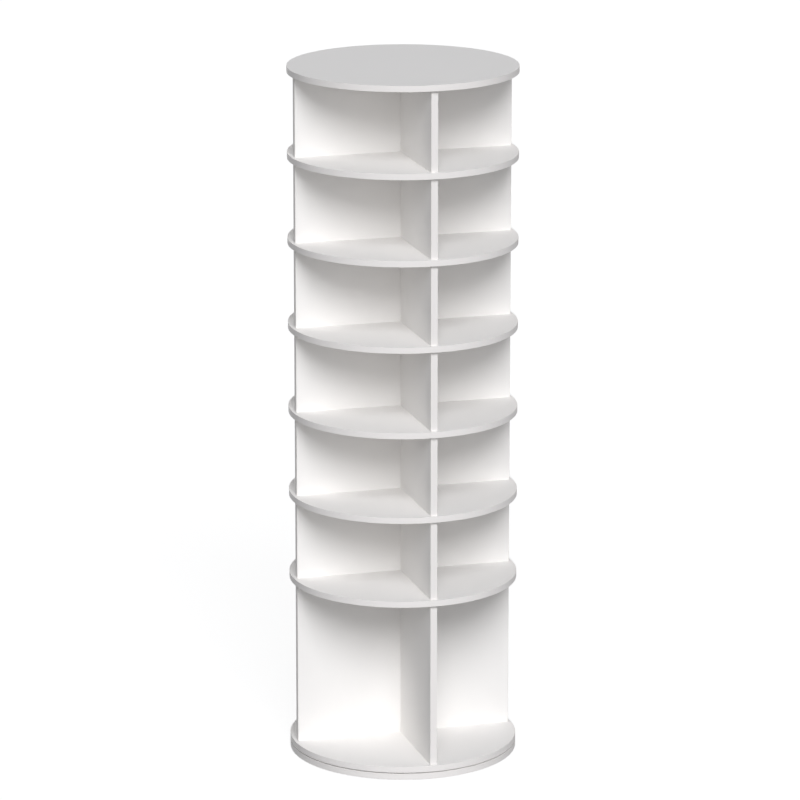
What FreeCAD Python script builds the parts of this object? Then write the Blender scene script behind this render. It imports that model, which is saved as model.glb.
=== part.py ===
import FreeCAD, Part
import os
import Sketcher

# Rotating shoe tower of white laminated boards.  Round boards carry three dividers in each tier, one right
# across and one in front and one behind, so a tier has four compartments.  Everything above the base board
# turns on a ball-bearing ring.  Millimetres, +Z up, origin on the floor under the centre; the long dividers
# lie along X and the front dividers point to -Y.

# Driving dimensions: name, size, what it is.
DRIVING_SIZES = [
    ("tower_diameter", 600, "round boards, across their edge bands"),
    ("overall_height", 1839, "floor to the top of the top board"),
    ("boot_bay_height", 434, "clear height of the bay under the lowest shelf"),
    ("board_thickness", 16, "round boards"),
    ("divider_thickness", 18, "upright boards"),
    ("divider_inset", 9, "from the rim to the outer edge of a divider"),
    ("edge_band_thickness", 1, "strip glued on each visible board edge"),
    ("glue_line", 0.05, "between a board and its edge band"),
    ("edge_round", 0.4, "rounding of the edge bands"),
    ("foot_pad_thickness", 2, "rubber pads under the base board"),
    ("foot_pad_diameter", 36, "rubber pads under the base board"),
    ("foot_pad_inset", 35, "from the rim to the middle of a pad"),
    ("running_gap", 3, "seam between the base board and the turning board"),
    ("turntable_diameter", 300, "outside of the lower bearing ring"),
    ("lower_ring_width", 18.4, "lower bearing ring, from its outside to its inside"),
    ("upper_ring_width", 20.4, "upper bearing ring, from its outside to its inside"),
    ("turntable_height", 8.5, "both bearing rings together"),
    ("ring_offset", 1, "height of the turntable that one ring leaves free"),
    ("recess_clearance", 1, "between the rings and the recess in the base board"),
    ("ring_gap", 1.2, "between the two rings, where the cage runs"),
    ("ball_diameter", 5, "steel balls"),
    ("ball_clearance", 0.2, "round a ball, in its groove and its cage"),
    ("cage_thickness", 0.6, "wall of the ball cage"),
    ("cage_rim", 0.5, "strip of the cage above and below a ball's window"),
    ("ring_screw_diameter", 3.5, "shank of a ring screw"),
    ("ring_screw_head", 7, "countersunk head of a ring screw"),
    ("ring_screw_length", 16, "ring screw, over all"),
    ("screw_slot_width", 0.7, "cross recess of a ring screw"),
    ("screw_slot_depth", 1.4, "cross recess of a ring screw"),
    ("access_hole_diameter", 12, "hole in the base board for driving the upper screws"),
    ("cam_diameter", 15, "cam lock"),
    ("cam_wall", 2.5, "cam lock's wall round the hollow that the bolt head turns in"),
    ("cam_floor", 1.5, "from a bolt's head to the bottom of the cam lock's bore"),
    ("cam_end_gap", 0.5, "between a cam lock and the bottom of its bore"),
    ("cam_distance", 34, "from a divider's end to the middle of its cam lock"),
    ("cam_setback", 50, "from a divider's outer edge to its cam locks"),
    ("cam_recess_width", 1.4, "cross recess of a cam lock"),
    ("cam_recess_length", 7, "cross recess of a cam lock"),
    ("cam_recess_depth", 2.4, "cross recess of a cam lock"),
    ("bolt_diameter", 6.5, "shank of a cam bolt"),
    ("bolt_neck_diameter", 4, "neck of a cam bolt"),
    ("bolt_neck_length", 0.9, "neck of a cam bolt, from its shank to the cam lock"),
    ("bolt_head_diameter", 7, "head of a cam bolt"),
    ("bolt_head_length", 3, "head of a cam bolt"),
    ("bolt_head_gap", 0.4, "from a bolt's end to the middle of its cam lock"),
    ("bolt_thread_length", 11, "threaded end of a cam bolt"),
    ("bolt_play", 0.5, "round a bolt's shank in its bore, and its head and neck in a cam lock"),
    ("dowel_diameter", 8, "beech dowels"),
    ("dowel_chamfer", 0.8, "ends of a dowel"),
    ("dowel_setback", 114, "from a divider's outer edge to its dowels"),
    ("dowel_bite", 16, "length of a dowel inside a divider"),
    ("dowel_board_bite", 11, "length of a dowel inside the turning or top board"),
    ("centre_dowel_height", 60, "from a divider's end to its centre dowels"),
    ("bore_spare", 1, "extra depth of a blind bore"),
    ("fit_clearance", 0.05, "round what sits in a bore"),
    ("cap_overlap", 1, "cover cap's edge beyond the cam lock"),
    ("cap_thickness", 1, "cover cap over a cam lock"),
    ("cap_stem_length", 2, "fin of a cover cap, in the cam lock's recess"),
]

SHELF_COUNT = 6
PAD_COUNT = 6
BALL_COUNT = 36
RING_SCREW_COUNT = 4
ARM_ANGLES = {"right": 0, "rear": 90, "left": 180, "front": 270}

document = FreeCAD.newDocument("shoe_tower")
sizes = document.addObject("Spreadsheet::Sheet", "Sizes")
for row, (alias, size, meaning) in enumerate(DRIVING_SIZES, start=1):
    sizes.set(f"A{row}", meaning)
    sizes.set(f"B{row}", str(size))
    sizes.setAlias(f"B{row}", alias)
document.recompute()

# Radii and reaches that several pieces share.
RIM_RADIUS = "Sizes.tower_diameter / 2"
BAND_ROOM = "(Sizes.edge_band_thickness + Sizes.glue_line)"
CORE_RADIUS = f"({RIM_RADIUS} - {BAND_ROOM})"
DIVIDER_REACH = f"({RIM_RADIUS} - Sizes.divider_inset)"
DIVIDER_CORE_REACH = f"({DIVIDER_REACH} - {BAND_ROOM})"
CAM_REACH = f"({DIVIDER_REACH} - Sizes.cam_setback)"
DOWEL_REACH = f"({DIVIDER_REACH} - Sizes.dowel_setback)"
BOLT_BORE_RADIUS = "(Sizes.bolt_diameter / 2 + Sizes.bolt_play)"
THREAD_BORE_RADIUS = "(Sizes.bolt_diameter / 2 + Sizes.fit_clearance)"
DOWEL_BORE_RADIUS = "(Sizes.dowel_diameter / 2 + Sizes.fit_clearance)"
SCREW_BORE_RADIUS = "(Sizes.ring_screw_diameter / 2 + Sizes.fit_clearance)"
SCREW_HEAD_HEIGHT = "((Sizes.ring_screw_head - Sizes.ring_screw_diameter) / 2)"
RING_HEIGHT = "(Sizes.turntable_height - Sizes.ring_offset)"
SCREW_BORE_DEPTH = f"(Sizes.ring_screw_length - {RING_HEIGHT} + Sizes.bore_spare)"
LOWER_RING_RADIUS = "(Sizes.turntable_diameter / 2)"
RACE_RADIUS = f"({LOWER_RING_RADIUS} - Sizes.lower_ring_width - Sizes.ring_gap / 2)"
UPPER_RING_RADIUS = f"({RACE_RADIUS} - Sizes.ring_gap / 2)"
UPPER_RING_BORE = f"({UPPER_RING_RADIUS} - Sizes.upper_ring_width)"
LOWER_SCREW_REACH = f"({LOWER_RING_RADIUS} - Sizes.lower_ring_width / 2)"
UPPER_SCREW_REACH = f"({UPPER_RING_BORE} + Sizes.upper_ring_width / 2)"
GROOVE_RADIUS = "(Sizes.ball_diameter / 2 + Sizes.ball_clearance)"
CAGE_HEIGHT = f"(2 * {GROOVE_RADIUS} + 2 * Sizes.cage_rim)"

# Levels above the floor.
BASE_BOTTOM = "Sizes.foot_pad_thickness"
TURNING_BOTTOM = f"({BASE_BOTTOM} + Sizes.board_thickness + Sizes.running_gap)"
BAY_FLOOR = f"({TURNING_BOTTOM} + Sizes.board_thickness)"
RECESS_FLOOR = f"({TURNING_BOTTOM} - Sizes.turntable_height)"
BALL_LEVEL = f"({TURNING_BOTTOM} - Sizes.turntable_height / 2)"
BOARDS_ABOVE_BAY = SHELF_COUNT + 1
EQUAL_TIERS_ROOM = (
    f"(Sizes.overall_height - {BAY_FLOOR} - Sizes.boot_bay_height"
    f" - {BOARDS_ABOVE_BAY} * Sizes.board_thickness)"
)
TIER_HEIGHT = f"({EQUAL_TIERS_ROOM} / {SHELF_COUNT})"

# Tier 1 is the boot bay, and shelf 1 is the board over it.
TIER_HEIGHTS = ["Sizes.boot_bay_height"] + [TIER_HEIGHT] * SHELF_COUNT
TIER_FLOORS = [BAY_FLOOR]
for height in TIER_HEIGHTS[:-1]:
    TIER_FLOORS.append(f"({TIER_FLOORS[-1]} + {height} + Sizes.board_thickness)")
BOARD_LEVELS = [f"({floor} + {height})" for floor, height in zip(TIER_FLOORS, TIER_HEIGHTS)]

UP = FreeCAD.Vector(0, 0, 1)
ALONG_X = FreeCAD.Vector(1, 0, 0)
ALONG_Y = FreeCAD.Vector(0, 1, 0)
NO_TURN = FreeCAD.Rotation()
TURN_OVER = FreeCAD.Rotation(ALONG_Y, 180)
AXIS_TO_Y = FreeCAD.Rotation(ALONG_X, -90)
AXIS_TO_X = FreeCAD.Rotation(ALONG_Y, 90)

parts = []


def value(expression):
    """The present value of an expression on the sheet, as a plain number."""
    return float(sizes.evalExpression(expression))


def move(thing, x="0", y="0", z="0", rotation=NO_TURN):
    """Places an object by expressions."""
    thing.Placement = FreeCAD.Placement(FreeCAD.Vector(value(x), value(y), value(z)), rotation)
    for axis, place in (("x", x), ("y", y), ("z", z)):
        if place != "0":
            thing.setExpression(f"Placement.Base.{axis}", place)


def new_body(name):
    return document.addObject("PartDesign::Body", name)


def origin_feature(body, role):
    return next(feature for feature in body.Origin.OriginFeatures if feature.Role == role)


def new_sketch(body, role, name, offset=None):
    """A sketch on one of the body's own origin planes, moved along the plane's normal."""
    sketch = body.newObject("Sketcher::SketchObject", name)
    sketch.AttachmentSupport = [(origin_feature(body, role), "")]
    sketch.MapMode = "FlatFace"
    if offset:
        sketch.setExpression("AttachmentOffset.Base.z", offset)
    return sketch


def pin(sketch, kind, geometry, point, place):
    """Holds one coordinate of a sketch point at an expression, from either side of the origin."""
    at = value(place)
    if abs(at) < 1e-9:
        axis = -2 if kind == "DistanceX" else -1
        sketch.addConstraint(Sketcher.Constraint("PointOnObject", geometry, point, axis))
    elif at > 0:
        number = sketch.addConstraint(Sketcher.Constraint(kind, -1, 1, geometry, point, at))
        sketch.setExpression(f"Constraints[{number}]", place)
    else:
        number = sketch.addConstraint(Sketcher.Constraint(kind, geometry, point, -1, 1, -at))
        sketch.setExpression(f"Constraints[{number}]", f"-({place})")


def add_circle(sketch, x, y, radius):
    centre = FreeCAD.Vector(value(x), value(y), 0)
    circle = sketch.addGeometry(Part.Circle(centre, UP, value(radius)), False)
    number = sketch.addConstraint(Sketcher.Constraint("Radius", circle, value(radius)))
    sketch.setExpression(f"Constraints[{number}]", radius)
    pin(sketch, "DistanceX", circle, 3, x)
    pin(sketch, "DistanceY", circle, 3, y)


def add_rectangle(sketch, left, right, bottom, top):
    corners = [(left, bottom), (right, bottom), (right, top), (left, top)]
    points = [FreeCAD.Vector(value(x), value(y), 0) for x, y in corners]
    lines = []
    for start, end in zip(points, points[1:] + points[:1]):
        lines.append(sketch.addGeometry(Part.LineSegment(start, end), False))
    for line, following in zip(lines, lines[1:] + lines[:1]):
        sketch.addConstraint(Sketcher.Constraint("Coincident", line, 2, following, 1))
    for line, direction in zip(lines, ["Horizontal", "Vertical"] * 2):
        sketch.addConstraint(Sketcher.Constraint(direction, line))
    for line, (x, y) in ((lines[0], corners[0]), (lines[2], corners[2])):
        pin(sketch, "DistanceX", line, 1, x)
        pin(sketch, "DistanceY", line, 1, y)


def extrude(body, kind, name, sketch, length, symmetric=False, reverse=False):
    """A Pad or a Pocket of a sketch."""
    feature = body.newObject(f"PartDesign::{kind}", name)
    feature.Profile = sketch
    feature.SideType = "Symmetric" if symmetric else "One side"
    feature.Reversed = reverse
    feature.setExpression("Length", length)
    return feature


def drill(body, name, level, depth, centres, radius, upward=False):
    """Bores along Z from a level, downwards or upwards."""
    sketch = new_sketch(body, "XY_Plane", f"{name}_layout", level)
    for x, y in centres:
        add_circle(sketch, x, y, radius)
    return extrude(body, "Pocket", name, sketch, depth, reverse=upward)


def primitive(body, kind, name, sizes_by_property, x="0", y="0", z="0", rotation=NO_TURN):
    """An additive or subtractive PartDesign primitive, sized and placed by expressions."""
    feature = body.newObject(f"PartDesign::{kind}", name)
    for property_name, expression in sizes_by_property.items():
        feature.setExpression(property_name, expression)
    move(feature, x, y, z, rotation)
    return feature


def cylinder(body, name, radius, height, subtract=False, **place):
    kind = "SubtractiveCylinder" if subtract else "AdditiveCylinder"
    return primitive(body, kind, name, {"Radius": radius, "Height": height}, **place)


def box(body, name, x, y, z, length, width, height, subtract=False):
    """A box given by its middle in X and Y and its bottom in Z."""
    kind = "SubtractiveBox" if subtract else "AdditiveBox"
    box_sizes = {"Length": length, "Width": width, "Height": height}
    return primitive(body, kind, name, box_sizes, f"{x} - {length} / 2", f"{y} - {width} / 2", z)


def around(reach, count, start=0):
    """Places on a circle: X, Y and the angle."""
    angles = [start + 360 / count * number for number in range(count)]
    return [(f"{reach} * cos({angle})", f"{reach} * sin({angle})", angle) for angle in angles]


def on_arms(reach):
    """The four places at one distance from the axis, one on each arm of the cross of dividers."""
    return [(x, y) for x, y, angle in around(reach, len(ARM_ANGLES))]


def keep(piece):
    """Lists a finished piece, which is written to a file of its own."""
    parts.append(piece)
    return piece


def repeat(name, placed):
    """A group of separate copies: each is a master piece with X, Y, Z and a rotation."""
    links = []
    for number, (master, x, y, z, rotation) in enumerate(placed, start=1):
        link = document.addObject("App::Link", f"{name}_{number}")
        link.LinkedObject = master
        move(link, x, y, z, rotation)
        links.append(link)
    group = document.addObject("Part::Compound", name)
    group.Links = links
    return keep(group)


# Round boards and their edge bands.

def round_board(name, level):
    """A disc of laminated board, without its edge band."""
    body = new_body(name)
    outline = new_sketch(body, "XY_Plane", f"{name}_outline")
    add_circle(outline, "0", "0", CORE_RADIUS)
    extrude(body, "Pad", f"{name}_disc", outline, "Sizes.board_thickness")
    move(body, z=level)
    return keep(body)


def rim_band(board_name, level):
    """The strip round a round board, with its two outer edges eased."""
    name = f"{board_name}_edge_band"
    body = new_body(name)
    outline = new_sketch(body, "XY_Plane", f"{name}_outline")
    add_circle(outline, "0", "0", RIM_RADIUS)
    add_circle(outline, "0", "0", f"{RIM_RADIUS} - Sizes.edge_band_thickness")
    strip = extrude(body, "Pad", f"{name}_strip", outline, "Sizes.board_thickness")
    document.recompute()
    rim = value(RIM_RADIUS)
    outer_edges = []
    for number, edge in enumerate(strip.Shape.Edges, start=1):
        if isinstance(edge.Curve, Part.Circle) and abs(edge.Curve.Radius - rim) < 0.001:
            outer_edges.append(f"Edge{number}")
    ease_edges(body, strip, outer_edges)
    move(body, z=level)
    return keep(body)


def ease_edges(body, feature, edges):
    rounding = body.newObject("PartDesign::Fillet", f"{body.Name}_eased")
    rounding.Base = (feature, edges)
    rounding.setExpression("Radius", "Sizes.edge_round")


def board_bores(body, level, depth_of_bolts, depth_of_dowels, bolt_bore, upward=False):
    """One bolt bore and one dowel bore for each arm of the cross."""
    drill(body, f"{body.Name}_bolt_bores", level, depth_of_bolts, on_arms(CAM_REACH), bolt_bore, upward)
    drill(
        body, f"{body.Name}_dowel_bores", level, depth_of_dowels, on_arms(DOWEL_REACH), DOWEL_BORE_RADIUS, upward
    )


BLIND_BOLT_DEPTH = "(Sizes.bolt_thread_length + Sizes.bore_spare)"
BLIND_DOWEL_DEPTH = "(Sizes.dowel_board_bite + Sizes.bore_spare)"


def make_base_board():
    """Lies on the floor pads; its routed ring takes most of the turntable's height."""
    body = round_board("base_board", BASE_BOTTOM)
    recess_level = f"({RECESS_FLOOR} - {BASE_BOTTOM})"
    recess = new_sketch(body, "XY_Plane", "turntable_recess_outline", "Sizes.board_thickness")
    add_circle(recess, "0", "0", f"{LOWER_RING_RADIUS} + Sizes.recess_clearance")
    add_circle(recess, "0", "0", f"{UPPER_RING_BORE} - Sizes.recess_clearance")
    extrude(body, "Pocket", "turntable_recess", recess, f"Sizes.board_thickness - {recess_level}")
    screw_places = [(x, y) for x, y, angle in around(LOWER_SCREW_REACH, RING_SCREW_COUNT)]
    drill(body, "ring_screw_bores", recess_level, SCREW_BORE_DEPTH, screw_places, SCREW_BORE_RADIUS)
    access_place = [(UPPER_SCREW_REACH, "0")]
    access_radius = "Sizes.access_hole_diameter / 2"
    drill(body, "access_hole", "Sizes.board_thickness", "Sizes.board_thickness", access_place, access_radius)


def make_turning_board():
    """Carries the tower; screwed to the upper ring from below and to the dividers from above."""
    body = round_board("turning_board", TURNING_BOTTOM)
    screw_places = [(x, y) for x, y, angle in around(UPPER_SCREW_REACH, RING_SCREW_COUNT)]
    drill(body, "upper_screw_bores", "0", SCREW_BORE_DEPTH, screw_places, SCREW_BORE_RADIUS, upward=True)
    board_bores(body, "Sizes.board_thickness", BLIND_BOLT_DEPTH, BLIND_DOWEL_DEPTH, THREAD_BORE_RADIUS)


def make_boards():
    make_base_board()
    rim_band("base_board", BASE_BOTTOM)
    make_turning_board()
    rim_band("turning_board", TURNING_BOTTOM)
    for number in range(1, SHELF_COUNT + 1):
        level = BOARD_LEVELS[number - 1]
        shelf = round_board(f"shelf_{number}", level)
        board_bores(shelf, "Sizes.board_thickness", "Sizes.board_thickness", "Sizes.board_thickness",
                    BOLT_BORE_RADIUS)
        rim_band(f"shelf_{number}", level)
    top = round_board("top_board", BOARD_LEVELS[-1])
    board_bores(top, "0", BLIND_BOLT_DEPTH, BLIND_DOWEL_DEPTH, THREAD_BORE_RADIUS, upward=True)
    rim_band("top_board", BOARD_LEVELS[-1])


# Dividers.  Each is drawn along X with its middle height at zero and its cam locks on the +Y face.

HALF_DIVIDER = "(Sizes.divider_thickness / 2)"
CAM_BORE_DEPTH = f"({HALF_DIVIDER} + Sizes.bolt_head_diameter / 2 + Sizes.cam_floor)"
CAM_LENGTH = f"({CAM_BORE_DEPTH} - Sizes.cam_end_gap)"


def divider(name, left, right, arms, floor, height, angle):
    """An upright board with its bores for cam locks, bolts and dowels."""
    body = new_body(name)
    half_height = f"({height} / 2)"
    outline = new_sketch(body, "XZ_Plane", f"{name}_outline")
    add_rectangle(outline, left, right, f"-{half_height}", half_height)
    extrude(body, "Pad", f"{name}_panel", outline, "Sizes.divider_thickness", symmetric=True)

    cam_level = f"({half_height} - Sizes.cam_distance)"
    cam_bores = new_sketch(body, "XZ_Plane", f"{name}_cam_layout", f"-{HALF_DIVIDER}")
    cam_bore_radius = "Sizes.cam_diameter / 2 + Sizes.fit_clearance"
    for arm in arms:
        for side in ("", "-"):
            add_circle(cam_bores, f"{arm} * {CAM_REACH}", f"{side}{cam_level}", cam_bore_radius)
    extrude(body, "Pocket", f"{name}_cam_bores", cam_bores, CAM_BORE_DEPTH, reverse=True)

    bolt_places = [(f"{arm} * {CAM_REACH}", "0") for arm in arms]
    dowel_places = [(f"{arm} * {DOWEL_REACH}", "0") for arm in arms]
    dowel_depth = "Sizes.dowel_bite + Sizes.bore_spare"
    bolt_bores = drill(
        body, f"{name}_bolt_bores", f"-{half_height}", "Sizes.cam_distance", bolt_places, BOLT_BORE_RADIUS, True
    )
    dowel_bores = drill(
        body, f"{name}_dowel_bores", f"-{half_height}", dowel_depth, dowel_places, DOWEL_BORE_RADIUS, True
    )
    both_ends = body.newObject("PartDesign::Mirrored", f"{name}_both_ends")
    both_ends.Originals = [bolt_bores, dowel_bores]
    both_ends.MirrorPlane = (origin_feature(body, "XY_Plane"), [""])
    body.Tip = both_ends
    move(body, z=f"{floor} + {half_height}", rotation=FreeCAD.Rotation(UP, angle))
    return keep(body)


def centre_levels(height):
    level = f"({height} / 2 - Sizes.centre_dowel_height)"
    return [level, f"-{level}"]


def long_divider(tier, floor, height):
    """Right across the tower; the centre dowels pass through it."""
    name = f"long_divider_{tier}"
    body = divider(name, f"-{DIVIDER_CORE_REACH}", DIVIDER_CORE_REACH, (1, -1), floor, height, 0)
    layout = new_sketch(body, "XZ_Plane", f"{name}_centre_layout")
    for level in centre_levels(height):
        add_circle(layout, "0", level, DOWEL_BORE_RADIUS)
    bores = extrude(body, "Pocket", f"{name}_centre_bores", layout, "Sizes.divider_thickness", symmetric=True)
    body.Tip = bores


def half_divider(side, tier, floor, height):
    """From the long divider out to the rim; its inner edge takes the centre dowels."""
    name = f"{side}_divider_{tier}"
    body = divider(name, HALF_DIVIDER, DIVIDER_CORE_REACH, (1,), floor, height, ARM_ANGLES[side])
    layout = new_sketch(body, "YZ_Plane", f"{name}_centre_layout", HALF_DIVIDER)
    for level in centre_levels(height):
        add_circle(layout, "0", level, DOWEL_BORE_RADIUS)
    depth = "Sizes.dowel_bite + Sizes.bore_spare"
    body.Tip = extrude(body, "Pocket", f"{name}_centre_bores", layout, depth, reverse=True)


def make_dividers():
    for tier, (floor, height) in enumerate(zip(TIER_FLOORS, TIER_HEIGHTS), start=1):
        long_divider(tier, floor, height)
        half_divider("front", tier, floor, height)
        half_divider("rear", tier, floor, height)


def edge_strip(name, height):
    """The strip on a divider's outer edge, standing on Z, with its outer face towards +X."""
    body = new_body(name)
    strip = box(
        body, f"{name}_blank", "0", "0", "0", "Sizes.edge_band_thickness", "Sizes.divider_thickness", height
    )
    document.recompute()
    outer_edges = []
    for number, edge in enumerate(strip.Shape.Edges, start=1):
        ends = [vertex.Point for vertex in edge.Vertexes]
        upright = abs(ends[0].z - ends[1].z) > 1
        if upright and ends[0].x > 0:
            outer_edges.append(f"Edge{number}")
    ease_edges(body, strip, outer_edges)
    return body


def make_divider_bands():
    bay_strip = edge_strip("bay_strip", "Sizes.boot_bay_height")
    tier_strip = edge_strip("tier_strip", TIER_HEIGHT)
    strips = [bay_strip] + [tier_strip] * SHELF_COUNT
    middle = f"({DIVIDER_REACH} - Sizes.edge_band_thickness / 2)"
    for group, arms in (("long", ("right", "left")), ("front", ("front",)), ("rear", ("rear",))):
        placed = []
        for arm in arms:
            angle = ARM_ANGLES[arm]
            for strip, floor in zip(strips, TIER_FLOORS):
                turn = FreeCAD.Rotation(UP, angle)
                placed.append((strip, f"{middle} * cos({angle})", f"{middle} * sin({angle})", floor, turn))
        repeat(f"{group}_divider_edge_bands", placed)


# Turntable: two aluminium rings with a ball race between them, and a nylon cage that spaces the balls.

BALLS_IN_LOWER_RING = f"({BALL_LEVEL} - {RECESS_FLOOR})"
UPPER_RING_BOTTOM = f"({TURNING_BOTTOM} - {RING_HEIGHT})"
BALLS_IN_UPPER_RING = f"({BALL_LEVEL} - {UPPER_RING_BOTTOM})"


def bearing_ring(name, level, outer, inner, ball_level, screw_reach, countersink_up):
    body = new_body(name)
    section = new_sketch(body, "XY_Plane", f"{name}_outline")
    add_circle(section, "0", "0", outer)
    add_circle(section, "0", "0", inner)
    extrude(body, "Pad", f"{name}_blank", section, RING_HEIGHT)
    torus_sizes = {"Radius1": RACE_RADIUS, "Radius2": GROOVE_RADIUS}
    primitive(body, "SubtractiveTorus", f"{name}_groove", torus_sizes, z=ball_level)

    head = "(Sizes.ring_screw_head / 2 + Sizes.fit_clearance)"
    hole = cylinder(body, f"{name}_screw_hole", SCREW_BORE_RADIUS, RING_HEIGHT, subtract=True, x=screw_reach)
    cone_sizes = {"Radius1": SCREW_BORE_RADIUS, "Radius2": head, "Height": SCREW_HEAD_HEIGHT}
    cone_bottom = f"{RING_HEIGHT} - {SCREW_HEAD_HEIGHT}"
    if not countersink_up:
        cone_sizes = {"Radius1": head, "Radius2": SCREW_BORE_RADIUS, "Height": SCREW_HEAD_HEIGHT}
        cone_bottom = "0"
    countersink = primitive(
        body, "SubtractiveCone", f"{name}_countersink", cone_sizes, x=screw_reach, z=cone_bottom
    )
    pattern = body.newObject("PartDesign::PolarPattern", f"{name}_screw_holes")
    pattern.Originals = [hole, countersink]
    pattern.Axis = (origin_feature(body, "Z_Axis"), [""])
    pattern.Angle = 360
    pattern.Occurrences = RING_SCREW_COUNT
    body.Tip = pattern
    move(body, z=level)
    return keep(body)


def ball_cage():
    """A thin strip between the rings with one window for each ball."""
    body = new_body("ball_cage")
    outline = new_sketch(body, "XY_Plane", "ball_cage_outline")
    add_circle(outline, "0", "0", f"{RACE_RADIUS} + Sizes.cage_thickness / 2")
    add_circle(outline, "0", "0", f"{RACE_RADIUS} - Sizes.cage_thickness / 2")
    extrude(body, "Pad", "ball_cage_strip", outline, CAGE_HEIGHT)
    window = cylinder(
        body, "ball_window", GROOVE_RADIUS, "Sizes.ball_diameter", subtract=True,
        x=f"{RACE_RADIUS} - Sizes.ball_diameter / 2", z=f"{CAGE_HEIGHT} / 2", rotation=AXIS_TO_X,
    )
    pattern = body.newObject("PartDesign::PolarPattern", "ball_windows")
    pattern.Originals = [window]
    pattern.Axis = (origin_feature(body, "Z_Axis"), [""])
    pattern.Angle = 360
    pattern.Occurrences = BALL_COUNT
    body.Tip = pattern
    move(body, z=f"{BALL_LEVEL} - {CAGE_HEIGHT} / 2")
    return keep(body)


def ring_screw():
    """Countersunk wood screw, head up, with the top of its head at zero; the thread is a plain shank."""
    body = new_body("ring_screw")
    radius = "(Sizes.ring_screw_diameter / 2)"
    head_radius = "(Sizes.ring_screw_head / 2)"
    point_length = "Sizes.ring_screw_diameter"
    head_sizes = {"Radius1": radius, "Radius2": head_radius, "Height": SCREW_HEAD_HEIGHT}
    primitive(body, "AdditiveCone", "screw_head", head_sizes, z=f"-{SCREW_HEAD_HEIGHT}")
    shank_length = f"Sizes.ring_screw_length - {SCREW_HEAD_HEIGHT} - {point_length}"
    cylinder(body, "screw_shank", radius, shank_length, z=f"{point_length} - Sizes.ring_screw_length")
    point_sizes = {"Radius1": "0", "Radius2": radius, "Height": point_length}
    primitive(body, "AdditiveCone", "screw_point", point_sizes, z="-Sizes.ring_screw_length")
    long_side = "Sizes.ring_screw_diameter"
    short_side = "Sizes.screw_slot_width"
    depth = "Sizes.screw_slot_depth"
    box(body, "cross_slot_x", "0", "0", f"-{depth}", long_side, short_side, depth, subtract=True)
    box(body, "cross_slot_y", "0", "0", f"-{depth}", short_side, long_side, depth, subtract=True)
    return body


def make_turntable():
    bearing_ring(
        "lower_turntable_ring", RECESS_FLOOR, LOWER_RING_RADIUS,
        f"{RACE_RADIUS} + Sizes.ring_gap / 2", BALLS_IN_LOWER_RING, LOWER_SCREW_REACH, True,
    )
    bearing_ring(
        "upper_turntable_ring", UPPER_RING_BOTTOM, UPPER_RING_RADIUS,
        UPPER_RING_BORE, BALLS_IN_UPPER_RING, UPPER_SCREW_REACH, False,
    )
    ball_cage()
    ball = document.addObject("Part::Sphere", "ball")
    ball.setExpression("Radius", "Sizes.ball_diameter / 2")
    balls = [(ball, x, y, BALL_LEVEL, NO_TURN) for x, y, angle in around(RACE_RADIUS, BALL_COUNT)]
    repeat("turntable_balls", balls)

    screw = ring_screw()
    lower_heads = f"{RECESS_FLOOR} + {RING_HEIGHT}"
    lower_places = around(LOWER_SCREW_REACH, RING_SCREW_COUNT)
    upper_places = around(UPPER_SCREW_REACH, RING_SCREW_COUNT)
    repeat("lower_ring_screws", [(screw, x, y, lower_heads, NO_TURN) for x, y, angle in lower_places])
    repeat("upper_ring_screws", [(screw, x, y, UPPER_RING_BOTTOM, TURN_OVER) for x, y, angle in upper_places])


def make_foot_pads():
    pad = new_body("foot_pad")
    cylinder(pad, "pad_disc", "Sizes.foot_pad_diameter / 2", "Sizes.foot_pad_thickness")
    places = around(f"({RIM_RADIUS} - Sizes.foot_pad_inset)", PAD_COUNT)
    repeat("foot_pads", [(pad, x, y, "0", NO_TURN) for x, y, angle in places])


# Cam locks and their caps.  Drawn with the axis along Y, the outer face at zero and the bolt entering from -Z.

def cam_lock():
    body = new_body("cam_lock")
    radius = "(Sizes.cam_diameter / 2 - Sizes.fit_clearance)"
    cylinder(body, "cam_barrel", radius, CAM_LENGTH, y=f"-{CAM_LENGTH}", rotation=AXIS_TO_Y)
    cavity_length = "(Sizes.bolt_head_diameter + Sizes.bolt_play)"
    cylinder(
        body, "cam_cavity", "Sizes.cam_diameter / 2 - Sizes.cam_wall", cavity_length, subtract=True,
        y=f"-{HALF_DIVIDER} - {cavity_length} / 2", rotation=AXIS_TO_Y,
    )
    slot_width = "(Sizes.bolt_neck_diameter + Sizes.bolt_play)"
    slot_length = "(Sizes.cam_diameter - Sizes.cam_wall)"
    slot_height = "((Sizes.cam_diameter - Sizes.bolt_neck_diameter) / 2)"
    box(
        body, "neck_slot", "0", f"-{HALF_DIVIDER}", "-Sizes.cam_diameter / 2",
        slot_length, slot_width, slot_height, subtract=True,
    )
    head_entry_radius = "(Sizes.bolt_head_diameter / 2 + 2 * Sizes.fit_clearance)"
    cylinder(
        body, "head_entry", head_entry_radius, "Sizes.cam_diameter / 2", subtract=True,
        y=f"-{HALF_DIVIDER}", rotation=AXIS_TO_X,
    )
    recess_sizes = ("Sizes.cam_recess_length", "Sizes.cam_recess_width")
    for name, length, height in (("recess_x", *recess_sizes), ("recess_z", *recess_sizes[::-1])):
        middle = "-Sizes.cam_recess_depth / 2"
        box(
            body, name, "0", middle, f"-{height} / 2", length, "Sizes.cam_recess_depth", height, subtract=True
        )
    return body


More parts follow.
